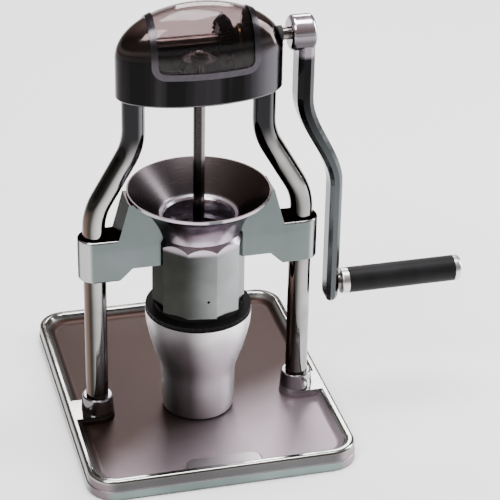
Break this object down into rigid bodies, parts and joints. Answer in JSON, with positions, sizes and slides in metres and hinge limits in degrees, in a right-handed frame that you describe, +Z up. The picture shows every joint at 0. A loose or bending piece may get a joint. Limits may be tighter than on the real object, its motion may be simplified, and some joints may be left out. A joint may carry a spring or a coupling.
{
  "type": "hand-cranked coffee grinder",
  "caption": "Countertop hand coffee grinder: flared hopper and conical burr between two bent tube legs, bevel-gear case with a window, side crank with black grip, cup and tray.",
  "frame": {"origin": "centre of the tray's resting face, on the surface it stands on", "axes": "+Z up, +X towards the crank and its grip, -Y towards the front lip with the plain pad"},
  "size_m": [0.3035, 0.244, 0.3338],
  "materials": {
    "tray_steel": "satin",
    "pad_rubber": "matte",
    "leg_chrome": "polished",
    "housing_metal": "polished",
    "case_metal": "polished",
    "plate_metal": "satin",
    "window_clear": "clear",
    "window_trim": "satin",
    "gear_steel": "satin",
    "shaft_steel": "polished",
    "burr_steel": "satin",
    "bush_bronze": "satin",
    "screw_steel": "satin",
    "collar_black": "satin",
    "cup_metal": "satin",
    "crank_metal": "polished",
    "grip_black": "satin",
    "grip_metal": "satin"
  },
  "bodies": {
    "frame": {"base_tray": "tray_steel", "base_pad": "pad_rubber", "leg_base_screws": "screw_steel", "right_leg": "leg_chrome", "left_leg": "leg_chrome", "leg_plugs": "screw_steel", "burr_housing": "housing_metal", "clamp_set_screws": "screw_steel", "carrier_key_pin": "screw_steel", "shaft_spider": "plate_metal", "spider_bush": "bush_bronze", "gear_case": "case_metal", "case_window": "window_clear", "window_frame": "window_trim", "case_base_plate": "plate_metal", "case_screws": "screw_steel", "leg_top_screws": "screw_steel", "upper_bush": "bush_bronze", "bearing_pedestal": "plate_metal", "pedestal_screws": "screw_steel", "crank_bushes": "bush_bronze", "shaft_seal": "pad_rubber", "collar_snap_ring": "screw_steel"},
    "shaft": {"drive_shaft": "shaft_steel", "shaft_circlip": "screw_steel", "crown_gear": "gear_steel", "crown_pin": "screw_steel", "crown_nut": "screw_steel", "cone_burr": "burr_steel", "cone_burr_screw": "screw_steel"},
    "crank": {"pinion_gear": "gear_steel", "pinion_pin": "screw_steel", "crank_shaft": "shaft_steel", "crank_arm": "crank_metal", "crank_screw": "screw_steel", "grip_spindle": "shaft_steel"},
    "grip": {"grip_ferrule": "grip_metal", "grip_sleeve": "grip_black", "grip_end_cap": "grip_metal"},
    "adjuster": {"adjuster_collar": "collar_black"},
    "carrier": {"burr_carrier": "plate_metal", "ring_burr": "burr_steel", "ring_burr_screws": "screw_steel"},
    "cup": {"grounds_cup": "cup_metal"}
  },
  "joints": [
    {"name": "crank_turn", "type": "hinge", "parent": "frame", "child": "crank", "pos_m": [0.044, -0.024, 0.3055], "axis": [1, 0, 0], "continuous": true},
    {"name": "shaft_spin", "type": "hinge", "parent": "frame", "child": "shaft", "pos_m": [0, -0.024, 0.2], "axis": [0, 0, 1], "continuous": true},
    {"name": "grip_spin", "type": "hinge", "parent": "crank", "child": "grip", "pos_m": [0.15, -0.024, 0.1014], "axis": [1, 0, 0], "continuous": true},
    {"name": "adjuster_turn", "type": "hinge", "parent": "frame", "child": "adjuster", "pos_m": [0, -0.024, 0.1], "axis": [0, 0, 1], "range_deg": [-120, 120]},
    {"name": "carrier_slide", "type": "slide", "parent": "frame", "child": "carrier", "axis": [0, 0, 1], "range_m": [-0.0005, 0.0005]},
    {"name": "cup_slide", "type": "slide", "parent": "frame", "child": "cup", "axis": [0, -1, 0], "range_m": [-0.105, 0.047]}
  ],
  "couplings": [
    {"joint": "shaft_spin", "follows": "crank_turn", "ratio": 1},
    {"joint": "carrier_slide", "follows": "adjuster_turn", "m_per_rad": 0.000238}
  ]
}
